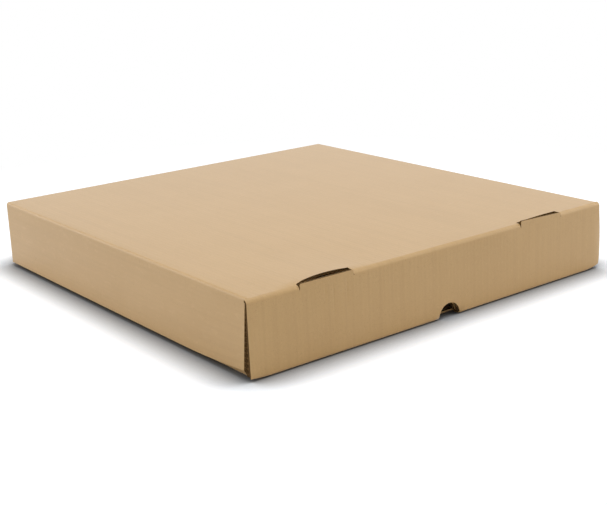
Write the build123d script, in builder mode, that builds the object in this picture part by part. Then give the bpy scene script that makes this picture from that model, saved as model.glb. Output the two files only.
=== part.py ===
"""Pizza box folded from one corrugated blank: a tray, and a hinged lid that closes down over it.

Frame: millimetres, +Z up, the rolled front wall faces -Y and the hinge fold runs along X at the
top of the back wall. The origin is under the middle of the box, on the surface it stands on.
"""

import os

from build123d import *

# Space for the pizza, between the inner faces of the tray
inside_width = 305.0
inside_depth = 305.0
inside_height = 46.4

# Corrugated board and its folds
board = 1.6
fold_inner_radius = 0.4
ply_gap = 0.4  # air between the plies of a rolled wall

# Room between the lid and the tray
side_clearance = 0.6
front_clearance = 0.6
rim_clearance = 0.5
hinge_clearance = 0.3

# Height of the lid's lower edges above the surface
front_lift = 0.5
side_lift = 3.0

# Corner lugs, held between the plies of the rolled walls
lug_length = 78.0

# How far the ends of the lid's walls are cut back at their lower edge
front_taper = 2.5
side_taper = 4.0

# Thumb notch in the middle of the front, through the lid and the tray
notch_diameter = 19.0

# Lock slots at the front folds, and the tabs that stand in them
slot_width = 42.0
slot_spacing = 190.0  # between the middles of the two slots
slot_kerf = 0.5
slot_bow = 3.5  # how much deeper the slot is at its middle than at its ends
slot_play = 0.9  # room behind the tab at the ends of the slot
tab_shortfall = 3.5  # how much the tab falls short of the slot at each end
tab_recess = 0.5  # how far the tab ends below the outer face
tab_corner_radius = 1.2
tongue_rise = 1.8  # how far the front wall stands proud of the top at a slot
tongue_corner_radius = 1.2

# Bends and rolled walls
half_board = board / 2
bend_radius = fold_inner_radius + half_board  # of the board's middle
fold_radius = fold_inner_radius + board  # of the board's outer face
ply_pitch = board + ply_gap
rolled_depth = 2 * ply_pitch + board

# Heights
tray_rim = board + inside_height - rim_clearance
lid_underside = board + inside_height
box_height = lid_underside + board
top_middle = box_height - half_board
fold_end = box_height - fold_radius  # where the lid's walls start below their folds

# Across
tray_half_width = inside_width / 2 + board
lid_half_width = tray_half_width + side_clearance + board

# From the front to the back
tray_depth = rolled_depth + inside_depth + ply_pitch + board
box_depth = rolled_depth + front_clearance + tray_depth
lid_front = -box_depth / 2
tray_front = lid_front + rolled_depth + front_clearance
tray_back = box_depth / 2
hinge_y = tray_back - half_board
lid_back = hinge_y - half_board - hinge_clearance

sides = (-1, 1)
slot_middles = [side * slot_spacing / 2 for side in sides]
tab_width = slot_width - 2 * tab_shortfall
tongue_width = slot_width - 2 * slot_kerf
run_on = 2 * fold_radius  # how far a bent strip runs on into its flat panel


def facing_front(y):
    """Plane at the given depth that faces the front, with X to the right and Z up."""
    return Plane(origin=(0, y, 0), x_dir=(1, 0, 0), z_dir=(0, -1, 0))


def bent_board(plane, *corners):
    """Section of the board, bent at each corner of the line along its middle."""
    with BuildSketch(plane) as section:
        with BuildLine():
            FilletPolyline(*corners, radius=bend_radius)
        trace(line_width=board)
    return section.sketch


def lock_slot(plane, middle, near, far):
    """Outline of a lock slot: straight on its near edge, bowed on its far edge."""
    left = middle - slot_width / 2
    right = middle + slot_width / 2
    with BuildSketch(plane) as slot:
        with BuildLine():
            ThreePointArc((left, far), (middle, far + slot_bow), (right, far))
            Polyline((left, far), (left, near), (right, near), (right, far))
        make_face()
    return slot.sketch


def lock_tab(plane, middle, width, root, end, corner_radius):
    """Outline of a tab from its root to its end, with the corners of the end rounded."""
    with BuildSketch(plane) as tab:
        with Locations((middle, (root + end) / 2)):
            Rectangle(width, abs(end - root))
        end_corners = tab.vertices().group_by(Axis.Y)[-1 if end > root else 0]
        fillet(end_corners, radius=corner_radius)
    return tab.sketch


# Tray: base, back wall, side walls with a lug at each end, and a front wall rolled inwards
with BuildPart() as tray:
    outer_middle = tray_front + half_board
    inner_face = tray_front + 2 * ply_pitch
    inner_middle = inner_face + half_board
    inner_end = board + ply_gap
    front_lug_middle = tray_front + ply_pitch + half_board
    back_lug_middle = tray_back - ply_pitch - half_board
    lug_top = tray_rim - ply_pitch

    # Base
    base_corner = (-tray_half_width + fold_radius, tray_front + fold_radius)
    with BuildSketch():
        with Locations(base_corner):
            Rectangle(
                2 * (tray_half_width - fold_radius),
                tray_depth - 2 * fold_radius,
                align=(Align.MIN, Align.MIN),
            )
    extrude(amount=board)

    # Front wall: the outer ply from corner to corner, the roll and the inner ply between the sides
    base_run = (tray_front + run_on, half_board)
    outer_ply = bent_board(
        Plane.YZ,
        base_run,
        (outer_middle, half_board),
        (outer_middle, tray_rim - fold_radius),
    )
    extrude(outer_ply, amount=tray_half_width, both=True)
    rolled_wall = bent_board(
        Plane.YZ,
        base_run,
        (outer_middle, half_board),
        (outer_middle, tray_rim - half_board),
        (inner_middle, tray_rim - half_board),
        (inner_middle, inner_end),
    )
    extrude(rolled_wall, amount=tray_half_width - ply_pitch, both=True)

    # Back wall, with the round bead of the hinge fold along its top
    back_wall = bent_board(
        Plane.YZ,
        (tray_back - run_on, half_board),
        (hinge_y, half_board),
        (hinge_y, top_middle),
    )
    extrude(back_wall, amount=tray_half_width, both=True)
    with BuildSketch(Plane.YZ):
        with Locations((hinge_y, top_middle)):
            Circle(half_board)
    extrude(amount=tray_half_width, both=True)

    # Side walls and their lugs
    wall_front = front_lug_middle - half_board + fold_radius
    wall_back = back_lug_middle + half_board - fold_radius
    for side in sides:
        wall_middle = side * (tray_half_width - half_board)
        lug_end = side * (tray_half_width - lug_length)
        side_wall = bent_board(
            facing_front(wall_back),
            (side * (tray_half_width - run_on), half_board),
            (wall_middle, half_board),
            (wall_middle, tray_rim),
        )
        extrude(side_wall, amount=wall_back - wall_front)
        lugs = bent_board(
            Plane.XY.offset(fold_radius),
            (lug_end, front_lug_middle),
            (wall_middle, front_lug_middle),
            (wall_middle, back_lug_middle),
            (lug_end, back_lug_middle),
        )
        extrude(lugs, amount=lug_top - fold_radius)

    # Lock tabs of the inner ply, standing in slots in the base
    for middle in slot_middles:
        slot = lock_slot(Plane.XY, middle, inner_face - slot_kerf, inner_face + board + slot_play)
        extrude(slot, amount=board, mode=Mode.SUBTRACT)
        tab = lock_tab(
            facing_front(inner_face),
            middle,
            tab_width,
            inner_end + board,
            tab_recess,
            tab_corner_radius,
        )
        extrude(tab, amount=-board)

    # Thumb hole behind the notch of the lid, down to the base
    with BuildSketch(facing_front(tray_front)):
        with Locations((0, front_lift)):
            Circle(notch_diameter / 2)
        with Locations((0, board)):
            Rectangle(
                notch_diameter,
                notch_diameter,
                align=(Align.CENTER, Align.MIN),
                mode=Mode.INTERSECT,
            )
    extrude(amount=-rolled_depth, mode=Mode.SUBTRACT)

tray.part.label = "tray"

# Lid: top panel, a front wall rolled inwards over the lugs of the side walls, and no back wall
with BuildPart() as lid:
    outer_middle = lid_front + half_board
    inner_face = lid_front + 2 * ply_pitch
    inner_middle = inner_face + half_board
    inner_end = lid_underside - ply_gap
    lug_middle = lid_front + ply_pitch + half_board
    lug_bottom = front_lift + ply_pitch
    rolled_half_width = lid_half_width - ply_pitch - front_taper

    # Front wall: the outer ply from corner to corner, its ends cut back towards the roll
    top_run = (lid_front + run_on, top_middle)
    outer_ply = bent_board(
        Plane.YZ,
        top_run,
        (outer_middle, top_middle),
        (outer_middle, front_lift + fold_radius),
    )
    extrude(outer_ply, amount=lid_half_width, both=True)
    with BuildSketch(facing_front(lid_front)):
        for side in sides:
            with BuildLine():
                Polyline(
                    (side * lid_half_width, fold_end),
                    (side * lid_half_width, front_lift),
                    (side * (lid_half_width - front_taper), front_lift),
                    close=True,
                )
            make_face()
    extrude(amount=-board, mode=Mode.SUBTRACT)
    rolled_wall = bent_board(
        Plane.YZ,
        top_run,
        (outer_middle, top_middle),
        (outer_middle, front_lift + half_board),
        (inner_middle, front_lift + half_board),
        (inner_middle, inner_end),
    )
    extrude(rolled_wall, amount=rolled_half_width, both=True)

    # Top panel
    panel_corner = (-lid_half_width + fold_radius, lid_front + fold_radius)
    with BuildSketch(Plane.XY.offset(lid_underside)):
        with Locations(panel_corner):
            Rectangle(
                2 * (lid_half_width - fold_radius),
                lid_back - lid_front - fold_radius,
                align=(Align.MIN, Align.MIN),
            )
    extrude(amount=board)

    # Lock slots through the top panel and its front fold
    for middle in slot_middles:
        slot = lock_slot(
            Plane.XY.offset(fold_end),
            middle,
            lid_front - board,
            inner_face + board + slot_play,
        )
        extrude(slot, amount=fold_radius, mode=Mode.SUBTRACT)

    # Tongues of the outer ply in front of the slots, and tabs of the inner ply standing in them
    for middle in slot_middles:
        tongue = lock_tab(
            facing_front(lid_front),
            middle,
            tongue_width,
            fold_end - board,
            box_height + tongue_rise,
            tongue_corner_radius,
        )
        extrude(tongue, amount=-board)
        tab = lock_tab(
            facing_front(inner_face),
            middle,
            tab_width,
            inner_end - board,
            box_height - tab_recess,
            tab_corner_radius,
        )
        extrude(tab, amount=-board)

    # Thumb notch through both plies, at the rolled edge
    with BuildSketch(facing_front(lid_front)):
        with Locations((0, front_lift)):
            Circle(notch_diameter / 2)
    extrude(amount=-rolled_depth, mode=Mode.SUBTRACT)

    # Side walls with their front lugs
    wall_front = lug_middle - half_board + fold_radius
    for side in sides:
        wall_middle = side * (lid_half_width - half_board)
        panel_run = (side * (lid_half_width - run_on), top_middle)
        corner = (wall_middle, top_middle)
        side_wall = bent_board(
            facing_front(lid_back), panel_run, corner, (wall_middle, side_lift)
        )
        extrude(side_wall, amount=lid_back - wall_front)
        corner_fold = bent_board(
            facing_front(wall_front), panel_run, corner, (wall_middle, fold_end - half_board)
        )
        extrude(corner_fold, amount=wall_front - lid_front - fold_radius)
        lug = bent_board(
            Plane.XY.offset(lug_bottom),
            (wall_middle, wall_front + board),
            (wall_middle, lug_middle),
            (side * (lid_half_width - lug_length), lug_middle),
        )
        extrude(lug, amount=fold_end - lug_bottom)

    # Back ends of the side walls, cut back towards their lower edge
    with BuildSketch(Plane.YZ):
        with BuildLine():
            Polyline(
                (lid_back, fold_end),
                (lid_back, side_lift),
                (lid_back - side_taper, side_lift),
                close=True,
            )
        make_face()
    extrude(amount=lid_half_width, both=True, mode=Mode.SUBTRACT)

lid.part.label = "lid"

os.makedirs("parts", exist_ok=True)
for piece in (tray, lid):
    export_step(piece.part, f"parts/{piece.part.label}.step")
    print(piece.part.label, piece.part.bounding_box())
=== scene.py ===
# %% [markdown]
# # A kraft pizza box, folded by formula
#
# The real box is one die-cut sheet of corrugated board: a tray, and a lid that joins it at the
# hinge fold along the top of the back wall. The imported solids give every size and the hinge, and
# this script lays finished board over them. The walls, folds and rims all start from the solids'
# own corners, so the looks can't drift away from what moves and collides.

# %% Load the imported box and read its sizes
import math

import bpy
import numpy as np
from mathutils import Matrix, Vector


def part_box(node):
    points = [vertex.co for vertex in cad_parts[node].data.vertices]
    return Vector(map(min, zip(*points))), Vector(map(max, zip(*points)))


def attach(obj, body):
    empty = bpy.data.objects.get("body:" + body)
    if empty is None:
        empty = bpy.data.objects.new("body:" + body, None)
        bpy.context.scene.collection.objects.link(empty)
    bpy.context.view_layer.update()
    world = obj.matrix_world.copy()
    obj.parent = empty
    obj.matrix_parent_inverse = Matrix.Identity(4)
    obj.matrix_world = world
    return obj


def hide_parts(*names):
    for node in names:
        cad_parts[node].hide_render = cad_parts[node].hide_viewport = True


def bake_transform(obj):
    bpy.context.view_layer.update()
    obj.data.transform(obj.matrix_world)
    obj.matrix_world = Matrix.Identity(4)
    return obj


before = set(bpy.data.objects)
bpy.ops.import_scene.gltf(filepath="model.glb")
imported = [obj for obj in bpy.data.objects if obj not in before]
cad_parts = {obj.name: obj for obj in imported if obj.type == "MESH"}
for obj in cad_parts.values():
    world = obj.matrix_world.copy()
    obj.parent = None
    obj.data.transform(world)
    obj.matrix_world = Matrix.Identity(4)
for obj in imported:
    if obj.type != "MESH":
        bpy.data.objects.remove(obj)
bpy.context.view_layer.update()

lid_low, lid_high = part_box("lid")
tray_low, tray_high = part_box("tray")

METRE = 1000.0  # the script works in millimetres, as a box maker does
lid_half = lid_high.x * METRE
lid_front = lid_low.y * METRE
lid_back = lid_high.y * METRE
lid_rim = lid_low.z * METRE
tongue_top = lid_high.z * METRE
tray_half = tray_high.x * METRE
tray_front = tray_low.y * METRE
back = tray_high.y * METRE
top = tray_high.z * METRE
print(f"closed box {2 * lid_half:.1f} x {back - lid_front:.1f} x {top:.1f} mm")

# %% [markdown]
# ## The board
#
# Fine-flute board is about 1.6 mm thick. A scored fold in it is round outside, a little rounder
# than the board is thick, and the plies of a rolled wall lie a hair apart. These few values and
# the frame's corners set every fold below.

# %% Board and folds, in millimetres
BOARD = 1.6
FOLD = 2.0  # outer radius of a fold
PLY = 2.0  # from one ply of a rolled wall to the next
ROLLED = 2 * PLY + BOARD
RIM_GAP = 0.5
HINGE_RUN = 5.0  # how far the hinge strip reaches down the wall and over the lid
TINY = 1e-6  # keeps comparisons of distances safe from rounding

fold_end = top - FOLD
tray_rim = top - BOARD - RIM_GAP
seam = back - HINGE_RUN
print(f"board {BOARD} mm, rolled wall {ROLLED} mm, tray rim at {tray_rim:.1f} mm")

# %% [markdown]
# ## Bending a line
#
# A fold seen from its end is a straight run, an arc and another straight run. The helper below
# rounds the corners of a line and keeps the distance along it, so that any number of points can
# be read off it at once by that distance. A finished mesh could be bent with a modifier
# instead, but this way folds get their own close rows and flat panels need few.

# %% A line with rounded corners, read by distance along it
ARC_POINTS = 25


def left_of(ways):
    """Directions turned a quarter to the left: (a, b) becomes (-b, a)."""
    return np.stack([-ways[:, 1], ways[:, 0]], axis=1)


class BentLine:
    """Straight runs joined by arcs, of one radius or one each; side is 1 if outside is on the left.

    An arc begins its radius times the tangent of half its angle before the corner, and turns evenly
    from the way in to the way out.
    """

    def __init__(self, corners, radii, side):
        corners = np.array(corners, float)
        radii = np.broadcast_to(radii, len(corners) - 2)
        steps = np.diff(corners, axis=0)
        ways = steps / np.linalg.norm(steps, axis=1)[:, None]
        share = np.linspace(0, 1, ARC_POINTS)[:, None]
        points = [corners[:1]]
        normals = [left_of(ways[:1])]
        for corner, radius, way_in, way_out in zip(corners[1:-1], radii, ways, ways[1:]):
            angle = math.acos(way_in @ way_out)
            inward = (way_out - way_in * math.cos(angle)) / math.sin(angle)
            centre = corner - way_in * radius * math.tan(angle / 2) + inward * radius
            turn = share * angle
            points.append(centre + radius * (way_in * np.sin(turn) - inward * np.cos(turn)))
            normals.append(left_of(way_in * np.cos(turn) + inward * np.sin(turn)))
        points = np.concatenate([*points, corners[-1:]])
        normals = side * np.concatenate([*normals, left_of(ways[-1:])])
        spans = np.linalg.norm(np.diff(points, axis=0), axis=1)
        self.distance = np.concatenate([[0.0], np.cumsum(spans)])
        self.table = np.concatenate([points, normals], axis=1).T
        arcs = 1 + ARC_POINTS * np.arange(len(corners) - 2)
        self.bends = [(self.distance[arc], self.distance[arc + ARC_POINTS - 1]) for arc in arcs]
        self.length = self.distance[-1]

    def at(self, distance):
        """Both coordinates and both parts of the outward normal, at each distance."""
        return [np.interp(distance, self.distance, column) for column in self.table]

    def find(self, height, start, end):
        """Distance between start and end at which the second coordinate reaches each height."""
        inside = (self.distance > start - TINY) & (self.distance < end + TINY)
        heights, distances = self.table[1][inside], self.distance[inside]
        rising = np.argsort(heights, kind="stable")
        return np.interp(height, heights[rising], distances[rising])


def run(start, *stops):
    """Values from start through the stops, each given as (value, number of steps to it)."""
    values = [np.array([start])]
    for value, steps in stops:
        values.append(np.linspace(values[-1][-1], value, steps + 1)[1:])
    return np.concatenate(values)


corner_test = BentLine([(0, 0), (10, 0), (10, 10)], FOLD, -1)
print(f"20 mm round a square corner folds to {corner_test.length:.2f} mm")

# %% [markdown]
# ## From a grid to a closed board
#
# Every panel starts as a grid of points on the outside of the board. A second grid lies one
# thickness in, and wherever a kept cell has no kept neighbour a cut edge closes the two. Slots and
# notches are cells left out, so their edges come by themselves. Solidify could add the thickness,
# but here each point also keeps its place on the flat sheet: across the flutes, along them, and
# depth in the board. The paper and the cut edges are coloured by those three later.


# %% Close a grid
def grid(*parts):
    """Coordinates spread over one grid and stacked, so that the last axis holds x, y and z."""
    return np.stack(np.broadcast_arrays(*parts), axis=-1)


def board(outer, normal, keep, across, along, thickness=BOARD, raw=False):
    """Outer grid, inner grid one thickness against the normal, and edges where kept cells end.

    The thickness is one number, or a column with a number for each row. Raw cells are laid bare by
    the knife, so their outer faces count as cut.
    """
    count = outer[..., 0].size
    number = np.arange(count).reshape(outer.shape[:2])
    ring = [number[:-1, :-1], number[:-1, 1:], number[1:, 1:], number[1:, :-1]]
    framed = np.pad(keep, 1)
    beside = [framed[:-2, 1:-1], framed[1:-1, 2:], framed[2:, 1:-1], framed[1:-1, :-2]]
    cells = np.stack(ring, axis=-1)[keep]
    edges = []
    for start, end, neighbour in zip(ring, ring[1:] + ring[:1], beside):
        bare = keep & ~neighbour
        a, b = start[bare], end[bare]
        edges.append(np.stack([b, a, a + count, b + count], axis=-1))
    edges = np.concatenate(edges)
    faces = np.concatenate([cells, cells[:, ::-1] + count, edges])
    points = outer.reshape(-1, 3)
    normals = normal.reshape(-1, 3)
    origin, second, fourth = (points[cells[:, corner]] for corner in (0, 1, 3))
    facing = np.cross(second - origin, fourth - origin)
    if np.sum(facing * normals[cells[:, 0]]) < 0:
        faces = faces[:, ::-1]
    flat = np.stack([across, along], axis=-1).reshape(-1, 2)
    thickness = np.broadcast_to(thickness, outer.shape[:2]).reshape(-1, 1)
    depth = np.concatenate([1 - thickness / BOARD, np.ones_like(thickness)])
    opened = np.broadcast_to(raw, keep.shape)[keep]
    return {
        "points": np.concatenate([points, points - thickness * normals]),
        "flat": np.concatenate([np.concatenate([flat, flat]), depth], axis=1),
        "faces": faces,
        "cut": np.concatenate([opened, np.zeros(len(cells), bool), np.ones(len(edges), bool)]),
    }


def mirrored(half):
    """The same board on the other side of the box: x turned round, and faces with it."""
    flip = np.array([-1.0, 1.0, 1.0])
    turned = {"points": half["points"] * flip, "flat": half["flat"] * flip}
    return {**half, **turned, "faces": half["faces"][:, ::-1]}


square = np.meshgrid(np.arange(3.0), np.arange(3.0))
square_board = board(grid(*square, 0), grid(0, 0, np.ones((3, 3))), np.ones((2, 2), bool), *square)
print(f"a square of 4 cells closes to {len(square_board['faces'])} faces")

# %% [markdown]
# ## From boards to one piece
#
# Boards that fold into each other share points, so they are welded there and the faces between them
# go. Merge by Distance would do that too, but it keeps the inner faces. The edges beside a cut are
# marked sharp. Without that, the paper would be shaded as if it rounded off into the cut, and a
# pale rim would shine beside every slot.

# %% Weld boards into a sheet, and make it a piece
WELD_STEPS = 1e3  # points that agree to a thousandth of a millimetre are one


def weld(boards):
    """Joins boards where their points meet, and drops the edges that met each other there."""
    starts = np.cumsum([0] + [len(part["points"]) for part in boards])
    points = np.concatenate([part["points"] for part in boards])
    flat = np.concatenate([part["flat"] for part in boards])
    faces = np.concatenate([part["faces"] + start for part, start in zip(boards, starts)])
    cut = np.concatenate([part["cut"] for part in boards])
    keys = np.round(points * WELD_STEPS).astype(np.int64)
    _, first, same = np.unique(keys, axis=0, return_index=True, return_inverse=True)
    faces = same.reshape(-1)[faces]
    around = np.sort(faces, axis=1)
    _, twin, copies = np.unique(around, axis=0, return_inverse=True, return_counts=True)
    lone = copies[twin.reshape(-1)] == 1
    used, faces = np.unique(faces[lone], return_inverse=True)
    kept = first[used]
    return {
        "points": points[kept],
        "flat": flat[kept],
        "faces": faces.reshape(-1, 4),
        "cut": cut[lone],
    }


def sheet_piece(name, sheet, materials):
    """A mesh object from a welded sheet, smooth on the paper and flat on the cut edges."""
    cut = sheet["cut"]
    mesh = bpy.data.meshes.new(name)
    mesh.from_pydata((sheet["points"] / METRE).tolist(), [], sheet["faces"].tolist())
    mesh.polygons.foreach_set("use_smooth", ~cut)
    mesh.polygons.foreach_set("material_index", cut.astype(np.int32))
    edge_of_corner = np.empty(len(mesh.loops), dtype=np.int32)
    mesh.loops.foreach_get("edge_index", edge_of_corner)
    sharp = np.zeros(len(mesh.edges), dtype=bool)
    sharp[edge_of_corner[np.repeat(cut, 4)]] = True
    mesh.attributes.new("sharp_edge", "BOOLEAN", "EDGE").data.foreach_set("value", sharp)
    place = mesh.attributes.new("flat_sheet", "FLOAT_VECTOR", "POINT")
    place.data.foreach_set("vector", sheet["flat"].astype(np.float32).ravel())
    for material in materials:
        mesh.materials.append(material)
    piece = bpy.data.objects.new(name, mesh)
    bpy.context.scene.collection.objects.link(piece)
    print(f"{name}: {len(mesh.vertices)} points, {len(mesh.polygons)} faces")
    return piece


pair = weld([square_board, {**square_board, "points": square_board["points"] + (2.0, 0.0, 0.0)}])
print(f"two such squares weld to {len(pair['faces'])} faces")

# %% [markdown]
# ## Shader nodes in few words
#
# A material in Blender is a graph of nodes. These helpers add one node and join it in one line, so
# that each finish below reads as a recipe.


# %% Helpers for shader nodes
def new_material(name):
    """An empty node material with its shader and output joined."""
    material = bpy.data.materials.new(name)
    material.use_nodes = True
    tree = material.node_tree
    tree.nodes.clear()
    shader = tree.nodes.new("ShaderNodeBsdfPrincipled")
    output = tree.nodes.new("ShaderNodeOutputMaterial")
    tree.links.new(shader.outputs["BSDF"], output.inputs["Surface"])
    return material, tree, shader


def feed(tree, socket, value):
    """Joins a socket to another one, or sets it to a plain value."""
    if isinstance(value, bpy.types.NodeSocket):
        tree.links.new(value, socket)
    else:
        socket.default_value = value


def node(tree, kind, inputs=None, **settings):
    """A shader node with its settings made and its inputs fed."""
    made = tree.nodes.new(kind)
    for name, value in settings.items():
        setattr(made, name, value)
    for name, value in (inputs or {}).items():
        feed(tree, made.inputs[name], value)
    return made


def math_node(tree, operation, *values):
    """One arithmetic step on sockets or numbers."""
    return node(tree, "ShaderNodeMath", dict(enumerate(values)), operation=operation).outputs[0]


def spread(tree, value, low, high, out_low, out_high):
    """A value's range from low to high, spread over another range and clamped to it."""
    names = ("Value", "From Min", "From Max", "To Min", "To Max")
    inputs = dict(zip(names, (value, low, high, out_low, out_high)))
    return node(tree, "ShaderNodeMapRange", inputs).outputs["Result"]


def mixed(tree, share, first, second):
    """Two colours mixed by a share; a Mix node's colour sockets come after those for numbers."""
    made = node(tree, "ShaderNodeMix", data_type="RGBA")
    for number, value in ((0, share), (6, first), (7, second)):
        feed(tree, made.inputs[number], value)
    return made.outputs[2]


def noise(tree, scale, stretch=(1, 1, 1), detail=3.0):
    """Noise on Object coordinates, with its grain stretched along each axis."""
    place = node(tree, "ShaderNodeTexCoord").outputs["Object"]
    mapped = node(tree, "ShaderNodeMapping", {"Vector": place, "Scale": stretch}).outputs["Vector"]
    settings = {"Vector": mapped, "Scale": scale, "Detail": detail, "Roughness": 0.55}
    return node(tree, "ShaderNodeTexNoise", settings).outputs["Fac"]


print("shader helpers ready")

# %% [markdown]
# ## Kraft paper
#
# Unbleached kraft liner is brown, with long pale and dark fibres, soft cloudy patches, streaks from
# the paper machine, and faint ridges where the glued flutes show through. The ridges are a bump,
# and their shade is also painted into the colour as faint dark lines. It isn't quite matt: the mill
# presses it smooth, so it has a slight gloss, and its fine fibres catch light at a low angle, which
# a little sheen gives. A picture of paper would be quick, but it would stretch at the folds, so the
# colour is built from noise. Flute lines and streaks follow the flat sheet and so turn with every
# fold, while clouds and fibres follow the object.

# %% The liner
FLUTE_PITCH = 3.2
KRAFT = (0.53, 0.33, 0.13, 1)
KRAFT_PALE = (0.59, 0.38, 0.165, 1)
KRAFT_DARK = (0.43, 0.26, 0.095, 1)
STREAK_GRAIN = (0.22, 0.006, 0.0)  # streaks are narrow across the sheet and long along it


def kraft_liner():
    """Layers of noise over plain kraft, and a sine across the flutes as painted shade of their ridges;
    fibres and flutes raise it.
    """
    material, tree, shader = new_material("kraft_liner")
    flat = node(tree, "ShaderNodeAttribute", attribute_name="flat_sheet").outputs["Vector"]
    across = node(tree, "ShaderNodeSeparateXYZ", {"Vector": flat}).outputs["X"]
    wave = math_node(tree, "SINE", math_node(tree, "MULTIPLY", across, 2 * math.pi / FLUTE_PITCH))
    drawn_out = node(tree, "ShaderNodeVectorMath", {0: flat, 1: STREAK_GRAIN}, operation="MULTIPLY")
    settings = {"Vector": drawn_out.outputs["Vector"], "Scale": 1.0, "Detail": 3.0}
    streaks = node(tree, "ShaderNodeTexNoise", settings).outputs["Fac"]
    clouds = noise(tree, 28.0, detail=4.0)
    patches = noise(tree, 9.0, detail=2.0)
    fibres = noise(tree, 900.0, stretch=(1, 0.16, 0.4), detail=2.0)
    specks = noise(tree, 1500.0, detail=1.0)
    layers = (  # each with the range in which it shows, the most of it, and its tone
        (clouds, 0.35, 0.65, 0.3, KRAFT_PALE),
        (patches, 0.4, 0.7, 0.12, KRAFT_DARK),
        (streaks, 0.45, 0.7, 0.22, KRAFT_DARK),
        (fibres, 0.56, 0.75, 0.5, KRAFT_PALE),
        (specks, 0.6, 0.74, 0.65, KRAFT_DARK),
        # painted shade of the flute ridges: the sine darkens the colour a little along them
        (wave, -1.0, 1.0, 0.06, KRAFT_DARK),
    )
    colour = KRAFT
    for layer, low, high, most, tone in layers:
        colour = mixed(tree, spread(tree, layer, low, high, 0.0, most), colour, tone)
    tree.links.new(colour, shader.inputs["Base Color"])
    shader.inputs["Roughness"].default_value = 0.42
    shader.inputs["Sheen Weight"].default_value = 0.4
    shader.inputs["Sheen Roughness"].default_value = 0.35
    height = math_node(tree, "MULTIPLY_ADD", wave, 0.5, math_node(tree, "MULTIPLY", fibres, 1.2))
    bump = node(tree, "ShaderNodeBump", {"Strength": 0.25, "Distance": 0.00006, "Height": height})
    tree.links.new(bump.outputs["Normal"], shader.inputs["Normal"])
    return material


liner = kraft_liner()
print("material", liner.name)

# %% [markdown]
# ## Cut edges
#
# Where the die cut the sheet, the edge shows two thin liners with the fluted medium waving between
# them and hollows on both sides, which lie in shade. That shade is painted: the hollows are coloured
# near black, and the edge's kraft is set darker than the liner, partly because the medium is darker
# and partly as painted shade, which also darkens the slots, the notch and the corner wedge. Modelled
# flutes would need millions of faces. Each point of the board knows its depth instead, so a sine
# wave of the flute's pitch drawn in depth gives the right edge at every slot, notch and rim.

# %% The cut edge
# the edge's kraft is darker than the liner: partly the darker medium, partly painted shade
EDGE_PALE = (0.28, 0.165, 0.06, 1)
EDGE_DARK = (0.20, 0.115, 0.038, 1)
# painted shade: the flute hollows, where there is only shade, are coloured near black
PAINTED_HOLLOW_SHADE = (0.07, 0.036, 0.010, 1)
FLUTE_SWING = 0.36  # of the board's thickness, to each side of its middle
MEDIUM_HALF = (0.07, 0.12)  # the medium is full up to the first and gone at the second
LINER_FROM = (0.36, 0.40)  # the liners begin this far from the middle


def cut_edge():
    """Liner near depth 0 and 1, medium near a sine of the flute pitch, and painted shade in the hollow
    between.
    """
    material, tree, shader = new_material("cut_edge")
    flat = node(tree, "ShaderNodeAttribute", attribute_name="flat_sheet").outputs["Vector"]
    parts = node(tree, "ShaderNodeSeparateXYZ", {"Vector": flat})
    turn = math_node(tree, "MULTIPLY", parts.outputs["X"], 2 * math.pi / FLUTE_PITCH)
    wave = math_node(tree, "MULTIPLY_ADD", math_node(tree, "SINE", turn), FLUTE_SWING, 0.5)
    depth = parts.outputs["Z"]
    from_medium = math_node(tree, "ABSOLUTE", math_node(tree, "SUBTRACT", depth, wave))
    from_middle = math_node(tree, "ABSOLUTE", math_node(tree, "SUBTRACT", depth, 0.5))
    medium = spread(tree, from_medium, *MEDIUM_HALF, 1.0, 0.0)
    liners = spread(tree, from_middle, *LINER_FROM, 0.0, 1.0)
    solid = math_node(tree, "MAXIMUM", medium, liners)
    kraft = mixed(tree, noise(tree, 700.0), EDGE_DARK, EDGE_PALE)
    # painted shade in the hollows, darkened kraft on medium and liners
    tree.links.new(mixed(tree, solid, PAINTED_HOLLOW_SHADE, kraft), shader.inputs["Base Color"])
    shader.inputs["Roughness"].default_value = 0.85
    shader.inputs["Specular IOR Level"].default_value = 0.15
    bump = node(tree, "ShaderNodeBump", {"Strength": 0.6, "Distance": 0.0003, "Height": solid})
    tree.links.new(bump.outputs["Normal"], shader.inputs["Normal"])
    return material


edge = cut_edge()
paper = (liner, edge)
print("material", edge.name)

# %% [markdown]
# ## The lid's ribbon: top panel, front wall and roll
#
# On the flat sheet the top panel, the lid's front wall, its rim and the ply that rolls back up
# inside are one long ribbon. So they are one grid: columns across the box, rows by distance along
# a bent line. The two lock slots leave out the cells at the front fold and reach back to a bowed
# line, and the thumb notch leaves out a half circle at the rim. A Boolean could cut them out of a
# plain wall, but it leaves slivers, and here rows and columns follow every cut.

# %% Lock slots, tabs and notch
LID_SLOTS = (-99.0, 92.5)  # the die stood a little out of true
SLOT_HALF = 21.0
SLOT_REACH = 3.1  # the row behind the front at which the slots' cells begin
SLOT_ENDS = (4.6, 5.2)  # depth of each slot at its ends, behind the front
SLOT_BOWS = (3.2, 0.8)  # how much deeper it is at its middle
SLOT_SKEWS = (1.4, 1.0)  # how much deeper its right end is than its middle
SLOT_FADE = 6.0  # beside a slot the rows run straight again after this
SLOT_KERF = 0.35
TONGUE_HALF = SLOT_HALF - SLOT_KERF
TAB_HALF = 16.0
TAB_FLAT = 14.0
TAB_ROUND = 1.2
NOTCH_RADIUS = 9.5
NOTCH_MIDDLE = 2.5  # out of true as well
print(f"lid slots {2 * SLOT_HALF:.0f} mm wide, notch {2 * NOTCH_RADIUS:.0f} mm wide")

# %% [markdown]
# ## Signs of use
#
# A folded box is never quite true. The roll is springy, so the front wall leans out towards its
# rim. Its left end reaches past the side, and its right end swells and curls round the corner.
# Handling has worn both lower corners, the tab has pushed up the lip of the left slot, and three
# faint creases run down from there. Sculpting could add all this by hand. As formulas with a few
# sizes, each sign can be set against a photo on its own.

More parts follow.
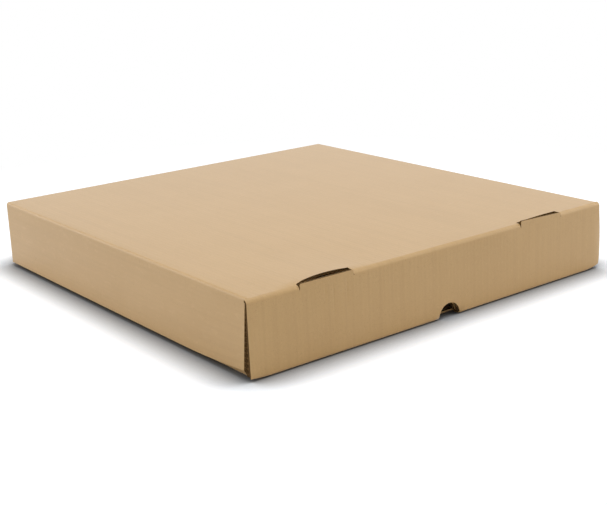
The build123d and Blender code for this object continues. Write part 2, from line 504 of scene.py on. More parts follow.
# %% How far the front wall departs from a true one
FRONT_FOLD = 2.8  # the front fold carries the roll, so it is rounder
FRONT_LEAN = 1.0  # how far the rim springs out
LEFT_COVER = 1.5  # how far the front wall's left end reaches past the side
RIGHT_BULGE = 2.4  # how far its right end swells past the side
BULGE_LOW = 1.4  # above 1, the swelling is fullest below the middle
END_CURL = 0.4  # how far the right end curls back round the corner
CURL_WIDTH = 5.0
WORN_IN = (1.0, 2.2)  # how far the lower corner of each end is worn in
WORN_SHARE = 0.1  # the share of the wall, from below, that is worn in
WORN_UP = (1.0, 1.5)  # how far the lower corners are pushed up
WORN_RUN = 14.0
SLOT_LIPS = (1.0, 0.0)  # how far the panel is pushed up behind each slot
LIP_HALF = 42.0
LIP_RISE = 3.0  # the lip rises over this depth behind the fold
LIP_CREST = 6.0  # and from this depth on it dies away
LIP_RUN = 60.0
CREASES = ((-84.0, 0.45), (-94.5, 1.0), (-101.0, 0.3))  # place, and share of the wall it runs down
CREASE_DEPTH = 0.16
CREASE_HALF = 1.2
CREASE_START = 0.06  # share of the wall over which a crease grows to its depth
print(f"front wall leans {FRONT_LEAN} mm and has {len(CREASES)} creases")

# %% Columns across the lid
COLUMNS = 57
COLUMN_GAP = 1.6  # even columns nearer than this to a special one are left out
lid_edge = lid_half - FOLD

round_end = TAB_ROUND * (1 - np.cos(np.linspace(0, math.pi / 2, 5)))
one_end = np.concatenate([[SLOT_HALF], TONGUE_HALF - round_end, TAB_HALF - round_end])
slot_columns = np.concatenate([one_end, -one_end, np.linspace(-TAB_FLAT, TAB_FLAT, 9)])
half_turn = np.sin(np.linspace(-math.pi / 2, math.pi / 2, 25))
end_columns = lid_edge - np.linspace(1, 8, 8)
crease_places = [place for place, _ in CREASES]
crease_columns = np.add.outer(crease_places, CREASE_HALF * np.linspace(-1, 1, 7)).ravel()


def columns_between(edge_x, *special):
    """Even columns out to both edges, thinned wherever special columns stand."""
    even = np.linspace(-edge_x, edge_x, COLUMNS)
    special = np.unique(np.round(np.concatenate(special), 4))
    near = np.min(np.abs(even[:, None] - special[None, :]), axis=1) < COLUMN_GAP
    near[[0, -1]] = False
    return np.sort(np.concatenate([even[~near], special]))


lid_special = [NOTCH_MIDDLE + NOTCH_RADIUS * half_turn, end_columns, crease_columns]
lid_special.extend(middle + slot_columns for middle in LID_SLOTS)
lid_columns = columns_between(lid_edge, *lid_special)
print(f"{len(lid_columns)} columns across the lid")


# %% Formulas for cut-outs, lips and creases
def in_slots(x, middles):
    """True where x lies in one of the two lock slots."""
    return np.any([np.abs(x - middle) < SLOT_HALF - TINY for middle in middles], axis=0)


def slot_depth(x, middles, ends, bows, skews):
    """Depth of each slot past its row: a slanted line plus a parabola, fading to 0 beside it."""
    depth = np.zeros_like(x)
    for middle, end, bow, skew in zip(middles, ends, bows, skews):
        aside = (x - middle) / SLOT_HALF
        fade = np.clip(1 - (np.abs(x - middle) - SLOT_HALF) / SLOT_FADE, 0, 1)
        slanted = end + skew * np.clip(aside, -1, 1)
        depth = depth + slanted * fade + bow * np.clip(1 - aside**2, 0, None)
    return depth


def slot_lip(x, behind):
    """Lift of the panel behind the slots: a flat bell across, dying away towards the back."""
    lift = np.zeros(np.broadcast(x, behind).shape)
    dying = np.clip(1 - (behind - LIP_CREST) / LIP_RUN, 0, 1) ** 2
    rise = np.clip((behind - FOLD) / LIP_RISE, 0, 1) * dying
    for middle, height in zip(LID_SLOTS, SLOT_LIPS):
        lift = lift + height * np.clip(1 - ((x - middle) / LIP_HALF) ** 2, 0, None) ** 1.5 * rise
    return lift


def crease_depth(x, down):
    """Shallow grooves below the fold: a flat bell across each crease, fading out down the wall."""
    depth = np.zeros(np.broadcast(x, down).shape)
    for place, length in CREASES:
        bell = np.clip(1 - ((x - place) / CREASE_HALF) ** 2, 0, None) ** 2
        fade = np.clip(down / CREASE_START, 0, 1) * np.clip(1 - down / length, 0, 1)
        depth = depth + CREASE_DEPTH * bell * fade
    return depth


def swelling(down):
    """Half a sine from the fold to the rim, fullest a little below the middle of the wall."""
    return np.sin(math.pi * down**BULGE_LOW)


def half_circle(x, radius):
    """Height of a half circle: the root of radius squared less x squared, 0 outside it."""
    return np.sqrt(np.clip(radius**2 - x**2, 0, None))


print(f"left slot {SLOT_ENDS[0] + SLOT_BOWS[0]:.1f} mm deep, right {SLOT_ENDS[1] + SLOT_BOWS[1]:.1f} mm")

# %% The lid's line and its rows
BOW_RUN = 62.0  # length over which the rows bend to follow the slots
FOLD_STEPS = 8

lid_line = BentLine(
    [
        (seam, top),
        (lid_front, top),
        (lid_front - FRONT_LEAN, lid_rim),
        (lid_front + ROLLED, lid_rim),
        (lid_front + ROLLED, fold_end),
    ],
    (FRONT_FOLD, FOLD, FOLD),
    -1,
)
fold_from, fold_to = lid_line.bends[0]
rim_from, rim_to = lid_line.bends[1]
roll_from, roll_to = lid_line.bends[2]
slot_at = seam - lid_front - SLOT_REACH
bow_at = slot_at - BOW_RUN
lid_stops = [
    (bow_at, 30),
    (slot_at, 20),
    (fold_from, 2),
    (fold_to, FOLD_STEPS),
    (rim_from, 14),
    (rim_to, 6),
    (roll_from, 1),
    (roll_to, 6),
    (lid_line.length, 8),
]
lid_rows = run(0.0, *lid_stops)
print(f"lid ribbon {lid_line.length:.0f} mm long in {len(lid_rows)} rows")

# %% Lay out the lid's ribbon
ROLL_SHORT = 12.0  # the rolled ply is narrower, to leave the lugs room
END_RUN = 20.0  # columns this near to an end move with it
roll_half = lid_half - ROLL_SHORT


def widened(columns, edge_x, left_end, right_end):
    """Columns whose outer stretches are drawn out or in, so that the last land on each row's ends."""
    drawn = np.clip((np.abs(columns) - edge_x + END_RUN) / END_RUN, 0, 1) * np.sign(columns)
    end = np.where(columns[None, :] < 0, left_end[:, None], right_end[:, None])
    return columns[None, :] + drawn[None, :] * (end - edge_x)


def cell_middles(columns, rows):
    """Values half-way between neighbouring columns, and half-way between neighbouring rows."""
    return (columns[1:] + columns[:-1])[None, :] / 2, (rows[1:] + rows[:-1])[:, None] / 2


def lid_distance(x, rows):
    """Distance along the line, with rows moved to follow the bowed slots and the notch.

    Before a slot, rows are drawn back by a share of its depth that grows to 1 at the slot. On the
    wall and the roll they are scaled, so that the last row lies on the notch's half circle.
    """
    deeper = slot_depth(x, LID_SLOTS, np.array(SLOT_ENDS) - SLOT_REACH, SLOT_BOWS, SLOT_SKEWS)
    share = np.clip((rows - bow_at) / (slot_at - bow_at), 0, 1) * (rows <= slot_at + TINY)
    height = lid_rim + half_circle(x - NOTCH_MIDDLE, NOTCH_RADIUS)
    outer_end = lid_line.find(height, fold_to, rim_to)
    inner_end = lid_line.find(height, roll_from, lid_line.length)
    wall_share = (rows - fold_to) / (rim_to - fold_to)
    roll_rest = (lid_line.length - rows) / (lid_line.length - roll_from)
    wall = (rows > fold_to) & (rows <= rim_to + TINY)
    distance = np.where(wall, fold_to + wall_share * (outer_end - fold_to), rows - deeper * share)
    inside = rows >= roll_from - TINY
    return np.where(inside, lid_line.length - roll_rest * (lid_line.length - inner_end), distance)


def lid_ribbon():
    """Points of the line by row and column, then the ends, lip, curl, creases and worn corners."""
    x, rows = lid_columns[None, :], lid_rows[:, None]
    distance = lid_distance(x, rows)
    down = np.clip((lid_rows - fold_to) / (rim_to - fold_to), 0, 1)
    panel = lid_rows <= fold_from + TINY
    rolled = lid_rows > rim_to + TINY
    worn = np.clip(1 - (1 - down) / WORN_SHARE, 0, 1) ** 2
    reaches = (LEFT_COVER - WORN_IN[0] * worn, RIGHT_BULGE * swelling(down) - WORN_IN[1] * worn)
    ends = []
    for reach in reaches:
        end = np.where(panel, lid_edge, lid_half + reach)
        ends.append(np.where(rolled, roll_half, end))
    across = widened(lid_columns, lid_edge, *ends)
    y, z, normal_y, normal_z = lid_line.at(distance)
    z = z + np.where(panel[:, None], slot_lip(x, y - lid_front), 0)
    curl = np.clip(1 + (across - lid_half) / CURL_WIDTH, 0, None) ** 2
    y = y + END_CURL * swelling(down)[:, None] * curl + crease_depth(x, down[:, None])
    near_end = np.clip(1 - (lid_half - np.abs(across)) / WORN_RUN, 0, 1) ** 2
    pushed = np.where(rolled, 0, down)[:, None]
    z = z + np.where(across < 0, *WORN_UP) * near_end * pushed
    middle_x, middle_row = cell_middles(lid_columns, lid_rows)
    slotted = in_slots(middle_x, LID_SLOTS) & (middle_row > slot_at) & (middle_row < fold_to)
    in_notch = np.abs(middle_x - NOTCH_MIDDLE) < NOTCH_RADIUS
    notched = in_notch & (middle_row > rim_to) & (middle_row < roll_from)
    normal = grid(0.0, normal_y, normal_z)
    return board(grid(across, y, z), normal, ~(slotted | notched), across, distance)


ribbon = lid_ribbon()
print(f"lid ribbon of {len(ribbon['faces'])} faces")

# %% [markdown]
# ## The lid's side walls and lugs
#
# Each side wall folds down from the top panel, and its front end turns the corner as a lug that the
# front wall rolls over. That turn is a half cut: the knife goes through the outer liner and the
# flutes, and the inner liner is left as a hinge. Turned, the cut opens into the dark wedge at the
# left corner, while at the right the front wall's end curls round the corner and covers it. The
# walls spring out at their lower edge, which rises a little towards the corner. A bevelled corner
# would have no opening, so wall, bottom of the cut and lug are rows of one grid, and the board is
# only a liner thick where the cut is.

# %% Side walls with half-cut corners
SIDE_LIFT = 3.0  # height of the lower edge
SIDE_TAPER = 4.0  # how far the wall's back end runs forward on its way down
TAPER_RUN = 25.0
WALL_SLANT = 1.6  # how far its front end runs back on its way down
SLANT_RUN = 30.0
SIDE_FLARE = 1.7  # how far its lower edge springs outwards
FRONT_RISE = 3.0  # how far that edge rises towards the corner
RISE_RUN = 70.0
LINER = 0.2  # the inner liner, which the half cut leaves
LUG_LENGTH = 78.0
LUG_GAP = 0.3  # from the roll's bottom to the lug
lug_foot = lid_rim + BOARD + LUG_GAP

side_line = BentLine([(lid_edge, top), (lid_half, top), (lid_half, SIDE_LIFT)], FOLD, 1)
side_across = run(0.0, (side_line.bends[0][1], FOLD_STEPS), (side_line.length, 14))
corner_x = lid_half - BOARD
corner_y = lid_front + PLY + BOARD
wall_end = corner_y + LINER


def lid_side():
    """Fold and wall across, the box's depth along; then the bottom of the half cut, and the lug.

    Slant, taper, rise and flare grow in proportion to the way down. Along the box, the slant and
    the taper fade in straight lines, and the rise as the square of one.
    """
    x, z, normal_x, normal_z = (values[None, :] for values in side_line.at(side_across))
    down = np.clip((fold_end - z) / (fold_end - SIDE_LIFT), 0, 1)
    panel_rows = lid_rows[lid_rows < seam - wall_end]
    ys = np.concatenate([[lid_back], seam - panel_rows, [wall_end]])[:, None]
    near_front = np.clip(1 - (ys - wall_end) / SLANT_RUN, 0, 1)
    near_back = np.clip(1 - (lid_back - ys) / TAPER_RUN, 0, 1)
    rise = FRONT_RISE * np.clip(1 - (ys - wall_end) / RISE_RUN, 0, 1) ** 2
    y = ys + (near_front * WALL_SLANT - near_back * SIDE_TAPER) * down
    flare = SIDE_FLARE * down
    wall = grid(x + flare, y, z + rise * down)
    aslant = math.sqrt(0.5)
    run_in = np.linspace(0, 1, 9)[:, None]
    lug_x = (corner_x - 2 * LINER) * (1 - run_in) + (lid_half - LUG_LENGTH) * run_in
    end_x = np.concatenate([[[corner_x + aslant * LINER]], lug_x])
    end_y = np.concatenate([[[corner_y - aslant * LINER]], np.full_like(lug_x, lid_front + PLY)])
    ends = grid(end_x + flare, end_y, z + (lug_foot - SIDE_LIFT) * down)
    end_normal = np.broadcast_to([0.0, -1.0, 0.0], ends.shape).copy()
    end_normal[0] = [aslant, -aslant, 0.0]
    outer = np.concatenate([wall, ends])
    normal = np.concatenate([grid(normal_x, 0 * y, normal_z), end_normal])
    end_along = np.concatenate([[[0.0]], LUG_LENGTH * run_in])
    along = np.concatenate([seam - y, seam - corner_y + end_along + 0 * z])
    thickness = np.full((len(outer), 1), BOARD)
    thickness[len(ys)] = LINER
    cell = np.arange(len(outer) - 1)[:, None]
    below_fold = np.arange(len(side_across) - 1)[None, :] >= FOLD_STEPS
    keep = (cell < len(ys) - 1) | below_fold
    # the bared cells of the half cut take the cut edge's colours, so the wedge is dark partly from real
    # shade and partly from their painted shade
    raw = (cell == len(ys) - 1) | (cell == len(ys))
    across = np.broadcast_to(lid_edge + side_across, outer.shape[:2])
    return board(outer, normal, keep, across, along, thickness, raw)


def bare_fold(line, distances, ys, edge_x, seam_y):
    """A side fold where no wall hangs on it: the line's arc across, carried along the given ys."""
    x, z, normal_x, normal_z = (values[None, :] for values in line.at(distances))
    y = ys[:, None]
    across = edge_x + distances[None, :] + 0 * y
    keep = np.ones((len(ys) - 1, len(distances) - 1), bool)
    return board(grid(x, y, z), grid(normal_x, 0 * y, normal_z), keep, across, seam_y - y + 0 * x)


cap_rows = lid_rows[(lid_rows > seam - wall_end) & (lid_rows <= fold_from + TINY)]
cap_ys = np.concatenate([[wall_end], seam - cap_rows])
corner_cap = bare_fold(side_line, side_across[: FOLD_STEPS + 1], cap_ys, lid_edge, seam)
right_side = [lid_side(), corner_cap]
print(f"lid side wall {side_line.length:.0f} mm deep with a {LUG_LENGTH:.0f} mm lug")

# %% [markdown]
# ## Lock tabs and tongues
#
# Two tabs stand on the end of the rolled ply and catch in the slots, which is all that holds the
# front wall rolled. When the die cuts a slot, it leaves a tongue on the outer ply that stands a
# little proud of the fold. Extruding faces would give blunt blocks, so both are small flat boards
# with rounded corners that grow from a row of the ribbon and are welded to it.

# %% Tabs and tongues
TAB_RECESS = 0.9  # how far the tabs stay below the top
TONGUE_TILTS = (-0.1, -0.7)  # how much higher each tongue's right end is than its middle
TONGUE_DROPS = (0.8, 0.0)  # how far it stays below the highest it could be


def rounded_top(x, half, level):
    """Height of a flat top with quarter-round ends: level less the fall of the corner circle."""
    past = np.clip(np.abs(x) - (half - TAB_ROUND), 0, TAB_ROUND)
    return level - TAB_ROUND + np.sqrt(TAB_ROUND**2 - past**2)


def standing_board(middle, half, level, foot, columns, tilt=0.0):
    """A flat board from its foot up to a rounded, tilted top, on the columns that it spans.

    The foot is y, z and both parts of the normal, as a bent line gives them. Every row is a share
    of the way from the foot's height to the top's.
    """
    foot_y, foot_z, normal_y, normal_z = foot
    x = columns[np.abs(columns - middle) < half + TINY][None, :]
    rise = np.linspace(0, 1, 4)[:, None]
    goal = rounded_top(x - middle, half, level) + tilt * (x - middle) / half
    z = foot_z + rise * (goal - foot_z)
    y = foot_y - (z - foot_z) * normal_z / normal_y
    normal = grid(0 * z, normal_y, normal_z)
    keep = np.ones((len(rise) - 1, x.size - 1), bool)
    return board(grid(x, y, z), normal, keep, x + 0 * z, z)


wall_top = lid_line.at(fold_to)
roll_end = lid_line.at(lid_line.length)
locks = []
for middle, tilt, drop in zip(LID_SLOTS, TONGUE_TILTS, TONGUE_DROPS):
    level = tongue_top - abs(tilt) - drop
    locks.append(standing_board(middle, TONGUE_HALF, level, wall_top, lid_columns, tilt))
    locks.append(standing_board(middle, TAB_HALF, top - TAB_RECESS, roll_end, lid_columns))

lid_sheet = weld([ribbon, *right_side, *map(mirrored, right_side), *locks])
lid_board = sheet_piece("lid_board", lid_sheet, paper)
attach(lid_board, "lid")
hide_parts("lid")

# %% [markdown]
# ## The tray's ribbon: back wall, base, front wall and roll
#
# The tray is the same kind of ribbon, from just under the hinge down the back, along the base, up
# the front and over into the roll. Its tabs stand in slots in the base. A thumb hole lies behind
# the lid's notch and is a little wider, so that a finger can get in and only the dark inside shows.

# %% The tray's line, cut-outs, columns and rows
ROLL_GAP = 0.4  # the rolled ply stops this far above the base
SLOT_NEAR = 3.5  # the near edge of the base's slots, behind the front
SLOT_ROOM = 0.9  # their far edge lies this far past the roll
BASE_SLOTS = (-95.0, 95.0)
BASE_BOWS = (3.5, 3.5)
BASE_BOW_RUN = 8.0
NO_SKEW = (0.0, 0.0)
HOLE_CENTRE = 0.5
HOLE_MIDDLE = NOTCH_MIDDLE
HOLE_RADIUS = 12.0
HOLE_SILL = 0.05  # the least height of the cells beside the hole
TRAY_FOLD_STEPS = 6

tray_edge = tray_half - FOLD
tray_inner_end = BOARD + ROLL_GAP
tray_roll_half = tray_half - PLY
slot_far = ROLLED + SLOT_ROOM
tray_line = BentLine(
    [
        (back, top - HINGE_RUN),
        (back, 0),
        (tray_front, 0),
        (tray_front, tray_rim),
        (tray_front + ROLLED, tray_rim),
        (tray_front + ROLLED, tray_inner_end),
    ],
    FOLD,
    1,
)
heel_from, heel_to = tray_line.bends[0]
toe_from, toe_to = tray_line.bends[1]
brim_from, brim_to = tray_line.bends[2]
turn_from, turn_to = tray_line.bends[3]
far_at = -(tray_front + slot_far) + back - FOLD + heel_to
near_at = far_at + slot_far - SLOT_NEAR
sill_at = toe_to + HOLE_SILL
tray_stops = [
    (heel_from, 10),
    (heel_to, 6),
    (far_at - BASE_BOW_RUN, 36),
    (far_at, 4),
    (near_at, 3),
    (toe_from, 2),
    (toe_to, 6),
    (sill_at, 1),
    (brim_from, 14),
    (brim_to, 6),
    (turn_from, 1),
    (turn_to, 6),
    (tray_line.length, 14),
]
tray_rows = run(0.0, *tray_stops)

hole_reach = math.sqrt(HOLE_RADIUS**2 - (FOLD - HOLE_CENTRE) ** 2)
tray_special = [HOLE_MIDDLE + hole_reach * half_turn]
tray_special.extend(middle + slot_columns for middle in BASE_SLOTS)
tray_columns = columns_between(tray_edge, *tray_special)
print(f"tray ribbon {tray_line.length:.0f} mm long, {len(tray_rows)} rows, {len(tray_columns)} columns")


# %% Lay out the tray's ribbon
def tray_distance(x, rows):
    """Distance along the line, with rows moved to follow the bowed slots and the hole.

    Up the wall and down the roll, rows are scaled so that the one nearest to the base lies on the
    hole's arc.
    """
    deeper = slot_depth(x, BASE_SLOTS, NO_SKEW, BASE_BOWS, NO_SKEW)
    share = np.clip((rows - far_at + BASE_BOW_RUN) / BASE_BOW_RUN, 0, 1) * (rows <= far_at + TINY)
    arc = HOLE_CENTRE + half_circle(x - HOLE_MIDDLE, HOLE_RADIUS)
    height = np.maximum(arc, FOLD + HOLE_SILL)
    in_hole = np.abs(x - HOLE_MIDDLE) <= hole_reach + TINY
    lintel = np.where(in_hole, tray_line.find(height, toe_to, brim_from), sill_at)
    low_end = tray_line.find(height, turn_to, tray_line.length)
    inner_end = np.where(in_hole, low_end, tray_line.length)
    wall_rest = (brim_from - rows) / (brim_from - sill_at)
    roll_share = (rows - turn_to) / (tray_line.length - turn_to)
    wall = (rows >= sill_at - TINY) & (rows <= brim_from + TINY)
    distance = np.where(wall, brim_from - wall_rest * (brim_from - lintel), rows - deeper * share)
    return np.where(rows > turn_to + TINY, turn_to + roll_share * (inner_end - turn_to), distance)


def tray_ribbon():
    """Points of the line by row and column, out to the base's fold, the wall's end or the roll's."""
    distance = tray_distance(tray_columns[None, :], tray_rows[:, None])
    base = (tray_rows > heel_to - TINY) & (tray_rows < toe_from + TINY)
    half = np.where(base, tray_edge, tray_half)
    half = np.where(tray_rows > brim_from + TINY, tray_roll_half, half)
    across = widened(tray_columns, tray_edge, half, half)
    y, z, normal_y, normal_z = tray_line.at(distance)
    middle_x, middle_row = cell_middles(tray_columns, tray_rows)
    slotted = in_slots(middle_x, BASE_SLOTS) & (middle_row > far_at) & (middle_row < near_at)
    in_hole = np.abs(middle_x - HOLE_MIDDLE) < hole_reach
    holed = in_hole & (middle_row > toe_to) & (middle_row < sill_at)
    normal = grid(0.0, normal_y, normal_z)
    return board(grid(across, y, z), normal, ~(slotted | holed), across, distance)


base_ribbon = tray_ribbon()
print(f"tray ribbon of {len(base_ribbon['faces'])} faces")

# %% [markdown]
# ## The tray's side walls
#
# Each side wall folds up from the base and has a lug at both ends: one behind the back wall, one
# inside the rolled front wall. They are made as the lid's side walls are, but these corners are
# scored and not cut, so a quarter round joins wall and lug.

# %% Tray side walls with a lug at both ends
BEND_STEPS = 8
LUG_STEPS = 7
tray_side_line = BentLine([(tray_edge, 0), (tray_half, 0), (tray_half, tray_rim)], FOLD, -1)
wall_foot = tray_side_line.bends[0][1]
tray_side_across = run(0.0, (wall_foot, TRAY_FOLD_STEPS), (tray_side_line.length, 10))
lug_top = tray_rim - FOLD
rear_bend = back - PLY - FOLD
front_bend = tray_front + PLY + FOLD


def tray_corner(away, corner):
    """Bend and lug at one end: away is -1 to the front and 1 to the back, corner the lug's outer y.

    Round the bend x and y follow a quarter circle, and on the lug x alone goes on. Gives x, y, the
    distance along, and the normal's three parts.
    """
    bend = np.linspace(0, math.pi / 2, BEND_STEPS + 1)[1:]
    lug = np.linspace(0, LUG_LENGTH - FOLD, LUG_STEPS + 1)[1:]
    turn = np.concatenate([bend, np.full(LUG_STEPS, math.pi / 2)])[:, None]
    inward = np.concatenate([np.zeros(BEND_STEPS), lug])[:, None]
    x = tray_half - FOLD + FOLD * np.cos(turn) - inward
    y = corner + away * FOLD * (np.sin(turn) - 1)
    return x, y, FOLD * turn + inward, np.cos(turn), away * np.sin(turn), 0 * turn


def tray_side():
    """Rows: back lug from its end, back bend, wall, front bend, front lug; columns up the wall."""
    x, z, normal_x, normal_z = (values[None, :] for values in tray_side_line.at(tray_side_across))
    between = (tray_rows > heel_to + PLY + TINY) & (tray_rows < toe_from - PLY - TINY)
    base_ys = back - FOLD - (tray_rows[between] - heel_to)
    ys = np.concatenate([[rear_bend], base_ys, [front_bend]])[:, None]
    wall = [part + 0 * (x + ys) for part in (x, ys, 0, normal_x, 0, normal_z)]
    rear_lug = [part[::-1] + 0 * x for part in tray_corner(1, back - PLY)]
    front_lug = [part + 0 * x for part in tray_corner(-1, tray_front + PLY)]
    parts = [np.concatenate(values) for values in zip(rear_lug, wall, front_lug)]
    all_x, all_y, along, *normals = parts
    first = len(rear_lug[0])
    last = first + len(ys)
    lugs = np.ones((len(all_x), 1), bool)
    lugs[first:last] = False
    fold_z = tray_side_line.at(wall_foot)[1]
    lowered = fold_z + (z - fold_z) * (lug_top - fold_z) / (tray_rim - fold_z)
    all_z = np.where(lugs & (z > fold_z), lowered, z + 0 * all_x)
    keep = np.ones((len(all_x) - 1, len(tray_side_across) - 1), bool)
    keep[:first, :TRAY_FOLD_STEPS] = False
    keep[last - 1 :, :TRAY_FOLD_STEPS] = False
    along = np.where(lugs, along, back - all_y)
    across = tray_edge + tray_side_across[None, :] + 0 * all_x
    return board(grid(all_x, all_y, all_z), grid(*normals), keep, across, along)


fold_across = tray_side_across[: TRAY_FOLD_STEPS + 1]
tray_right = [tray_side()]
for stretch in ((back - FOLD, rear_bend), (front_bend, tray_front + FOLD)):
    tray_right.append(bare_fold(tray_side_line, fold_across, np.array(stretch), tray_edge, back))
print(f"tray side wall {tray_side_line.length:.0f} mm high with two {LUG_LENGTH:.0f} mm lugs")

# %% [markdown]
# ## The tray's lock tabs
#
# The tray's tabs point down into the base. They are the lid's standing boards turned over at the
# end of the roll, because a second formula for the same tab would only be one more to keep in step.

# %% Lock tabs, and the tray as one piece
TAB_LIFT = 0.5  # the tabs stop this far above the floor
roll_foot = (tray_front + ROLLED, tray_inner_end, 1.0, 0.0)
tray_locks = []
for middle in BASE_SLOTS:
    level = 2 * tray_inner_end - TAB_LIFT
    tab = standing_board(middle, TAB_HALF, level, roll_foot, tray_columns)
    tab["points"] = tab["points"] * (1.0, 1.0, -1.0) + (0, 0, 2 * tray_inner_end)
    tab["faces"] = tab["faces"][:, ::-1]
    tray_locks.append(tab)

tray_sheet = weld([base_ribbon, *tray_right, *map(mirrored, tray_right), *tray_locks])
tray_board = sheet_piece("tray_board", tray_sheet, paper)
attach(tray_board, "tray")
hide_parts("tray")

# %% [markdown]
# ## The hinge fold
#
# The lid is hinged by the board itself: the back wall's top is scored, and the paper bends there.
# A short strip covers that fold, from the back wall round a quarter turn onto the lid's panel. It is
# one fixed piece, attached to neither the tray nor the lid.

# %% Hinge strip
hinge_line = BentLine([(back, top - HINGE_RUN), (back, top), (seam, top)], FOLD, -1)


def hinge_strip():
    """Wall, quarter fold and panel along the rows; columns across the box."""
    bend_from, bend_to = hinge_line.bends[0]
    rows = run(0.0, (bend_from, 3), (bend_to, 12), (hinge_line.length, 3))
    half = np.interp(rows, [bend_from, bend_to], [tray_half, lid_edge])
    across = np.linspace(-1, 1, COLUMNS)[None, :] * half[:, None]
    y, z, normal_y, normal_z = (values[:, None] for values in hinge_line.at(rows))
    outer = grid(across, y, z)
    normal = grid(0 * across, normal_y, normal_z)
    keep = np.ones((len(rows) - 1, COLUMNS - 1), bool)
    return board(outer, normal, keep, across, rows[:, None] + 0 * across)


hinge_fold = sheet_piece("hinge_fold", weld([hinge_strip()]), paper)
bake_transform(hinge_fold)

# %% [markdown]
# ## White floor
#
# A packshot stands on a white sweep. The floor is a diffuse white that is drawn brighter where it
# is seen directly, so that it reads as white, keeps the box's soft shadow, and throws no more
# light on the box. Ambient Occlusion deepens the shade along the walls' foot, with a darker core
# right under them. Further out the floor turns into plain backdrop, so that no horizon shows.

# %% The floor
BOUNCE_WHITE = (0.85, 0.85, 0.85, 1)
SEEN_WHITE = (1.16, 1.2, 1.25)
CONTACT = 0.027  # reach of the shade along the walls' foot, in metres
CONTACT_FROM = 0.45  # floor that is open to less than this share of light is shaded evenly
CONTACT_LEAST = 0.45
CONTACT_DEPTH = 1.9
CONTACT_CORE = (0.1, 0.36)  # only corners that the light hardly reaches are darker still
CORE_LEAST = 0.55
SWEEP = (0.26, 0.50)  # from this far to that far from the box, in metres, floor turns into backdrop
FLOOR_SIZE = 12.0


def seen_directly(tree):
    """1 where the camera, a reflection or a see-through ray looks, and 0 for light that bounces."""
    path = node(tree, "ShaderNodeLightPath").outputs
    seen = math_node(tree, "MAXIMUM", path["Is Camera Ray"], path["Is Glossy Ray"])
    return math_node(tree, "MAXIMUM", seen, path["Is Transmission Ray"])


def white_floor():
    """Diffuse white times a power of the open share of light, mixed into glow away from the box."""
    material = bpy.data.materials.new("white_floor")
    material.use_nodes = True
    tree = material.node_tree
    tree.nodes.clear()
    seen = seen_directly(tree)
    near = node(tree, "ShaderNodeAmbientOcclusion", {"Distance": CONTACT}, samples=16).outputs["AO"]
    open_share = spread(tree, near, CONTACT_FROM, 1.0, CONTACT_LEAST, 1.0)
    core = spread(tree, near, *CONTACT_CORE, CORE_LEAST, 1.0)
    shade = math_node(tree, "MULTIPLY", math_node(tree, "POWER", open_share, CONTACT_DEPTH), core)
    shaded = node(tree, "ShaderNodeVectorMath", {0: SEEN_WHITE, "Scale": shade}, operation="SCALE")
    colour = mixed(tree, seen, BOUNCE_WHITE, shaded.outputs["Vector"])
    diffuse = node(tree, "ShaderNodeBsdfDiffuse", {"Color": colour}).outputs["BSDF"]
    glow = node(tree, "ShaderNodeEmission", {"Color": (1, 1, 1, 1)}).outputs["Emission"]
    place = node(tree, "ShaderNodeTexCoord").outputs["Object"]
    from_box = node(tree, "ShaderNodeVectorMath", {0: place}, operation="LENGTH").outputs["Value"]
    far = math_node(tree, "MULTIPLY", seen, spread(tree, from_box, *SWEEP, 0.0, 1.0))
    surface = node(tree, "ShaderNodeMixShader", {0: far, 1: diffuse, 2: glow}).outputs["Shader"]
    node(tree, "ShaderNodeOutputMaterial", {"Surface": surface})
    return material


floor_corners = FLOOR_SIZE / 2 * np.array([(-1, -1, 0), (1, -1, 0), (1, 1, 0), (-1, 1, 0)])
floor_mesh = bpy.data.meshes.new("floor")
floor_mesh.from_pydata(floor_corners.tolist(), [], [(0, 1, 2, 3)])
floor_mesh.materials.append(white_floor())
floor = bpy.data.objects.new("floor", floor_mesh)
bpy.context.scene.collection.objects.link(floor)
print("floor", FLOOR_SIZE, "m square")

# %% [markdown]
# ## Light
#
# Paper wants soft light at a plain level. One broad lamp hangs above, two weaker ones stand to the
# left at the back and to the right at the front, and a pale world fills the shadows. Small strong
# lamps would do it too, but kraft has a slight gloss, and they would burn white spots into it.

# %% Soft lamps and a pale world
AIM = Vector((0, 0, 0.02))
AMBIENT = 0.37


def soft_lamp(name, place, size, power):
    """A square area lamp at place, in metres, turned to face the box; power is in watts."""
    light = bpy.data.lights.new(name, "AREA")
    light.size = size
    light.energy = power
    lamp = bpy.data.objects.new(name, light)
    lamp.location = place
    lamp.rotation_euler = (AIM - Vector(place)).to_track_quat("-Z", "Y").to_euler()
    bpy.context.scene.collection.objects.link(lamp)
    return lamp


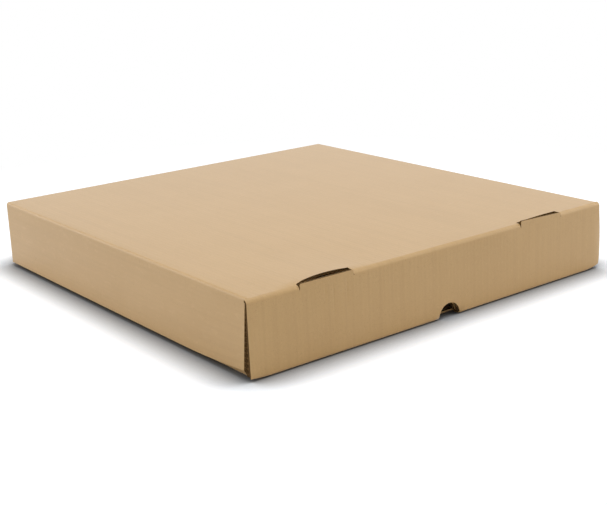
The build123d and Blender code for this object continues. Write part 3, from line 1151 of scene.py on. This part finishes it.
soft_lamp("key_light", (0.15, -0.15, 1.9), 1.4, 18.5)
soft_lamp("left_light", (-1.05, 1.25, 0.7), 1.6, 14)
soft_lamp("right_light", (1.15, -0.6, 0.55), 1.2, 7)

world = bpy.data.worlds.new("pale_world")
world.use_nodes = True
bpy.context.scene.world = world
sky_tree = world.node_tree
sky_tree.nodes.clear()
strength = spread(sky_tree, seen_directly(sky_tree), 0.0, 1.0, AMBIENT, 1.0)
sky = node(sky_tree, "ShaderNodeBackground", {"Color": (1, 1, 1, 1), "Strength": strength})
node(sky_tree, "ShaderNodeOutputWorld", {"Surface": sky.outputs["Background"]})
bpy.context.scene.view_settings.view_transform = "Standard"
print("three lamps and a world at", AMBIENT)

# %% [markdown]
# ## Camera
#
# The corners of the box in the photo fix the camera: where it stands, how long its lens is and how
# far it is tilted. It could be moved by hand until the picture fits, but a fit to measured corners
# is closer. The place is written in box widths, so it follows the frame's size.

# %% Camera at the photo's angle
AZIMUTH, ELEVATION, ROLL = (math.radians(angle) for angle in (-37.9821, 16.6099, -1.8951))
DISTANCE, ASIDE, RAISED = 2.7594, 0.0227, 0.0306  # in widths of the box
LENS = 67.35
SENSOR = 36.0

width = 2 * lid_half / METRE
away_x = math.sin(AZIMUTH) * math.cos(ELEVATION)
away_y = -math.cos(AZIMUTH) * math.cos(ELEVATION)
away = Vector((away_x, away_y, math.sin(ELEVATION)))
right = Vector((math.cos(AZIMUTH), math.sin(AZIMUTH), 0))
up = away.cross(right)
across_view = right * math.cos(ROLL) + up * math.sin(ROLL)
up_view = up * math.cos(ROLL) - right * math.sin(ROLL)
stand = (right * ASIDE + up * RAISED + away * DISTANCE) * width
turned = Matrix((across_view, up_view, away)).transposed().to_4x4()

lens = bpy.data.cameras.new("camera")
lens.sensor_width = SENSOR
lens.lens = LENS
camera = bpy.data.objects.new("camera", lens)
camera.matrix_world = Matrix.Translation(stand) @ turned
bpy.context.scene.collection.objects.link(camera)
bpy.context.scene.camera = camera
print("camera at", [round(value, 3) for value in stand])
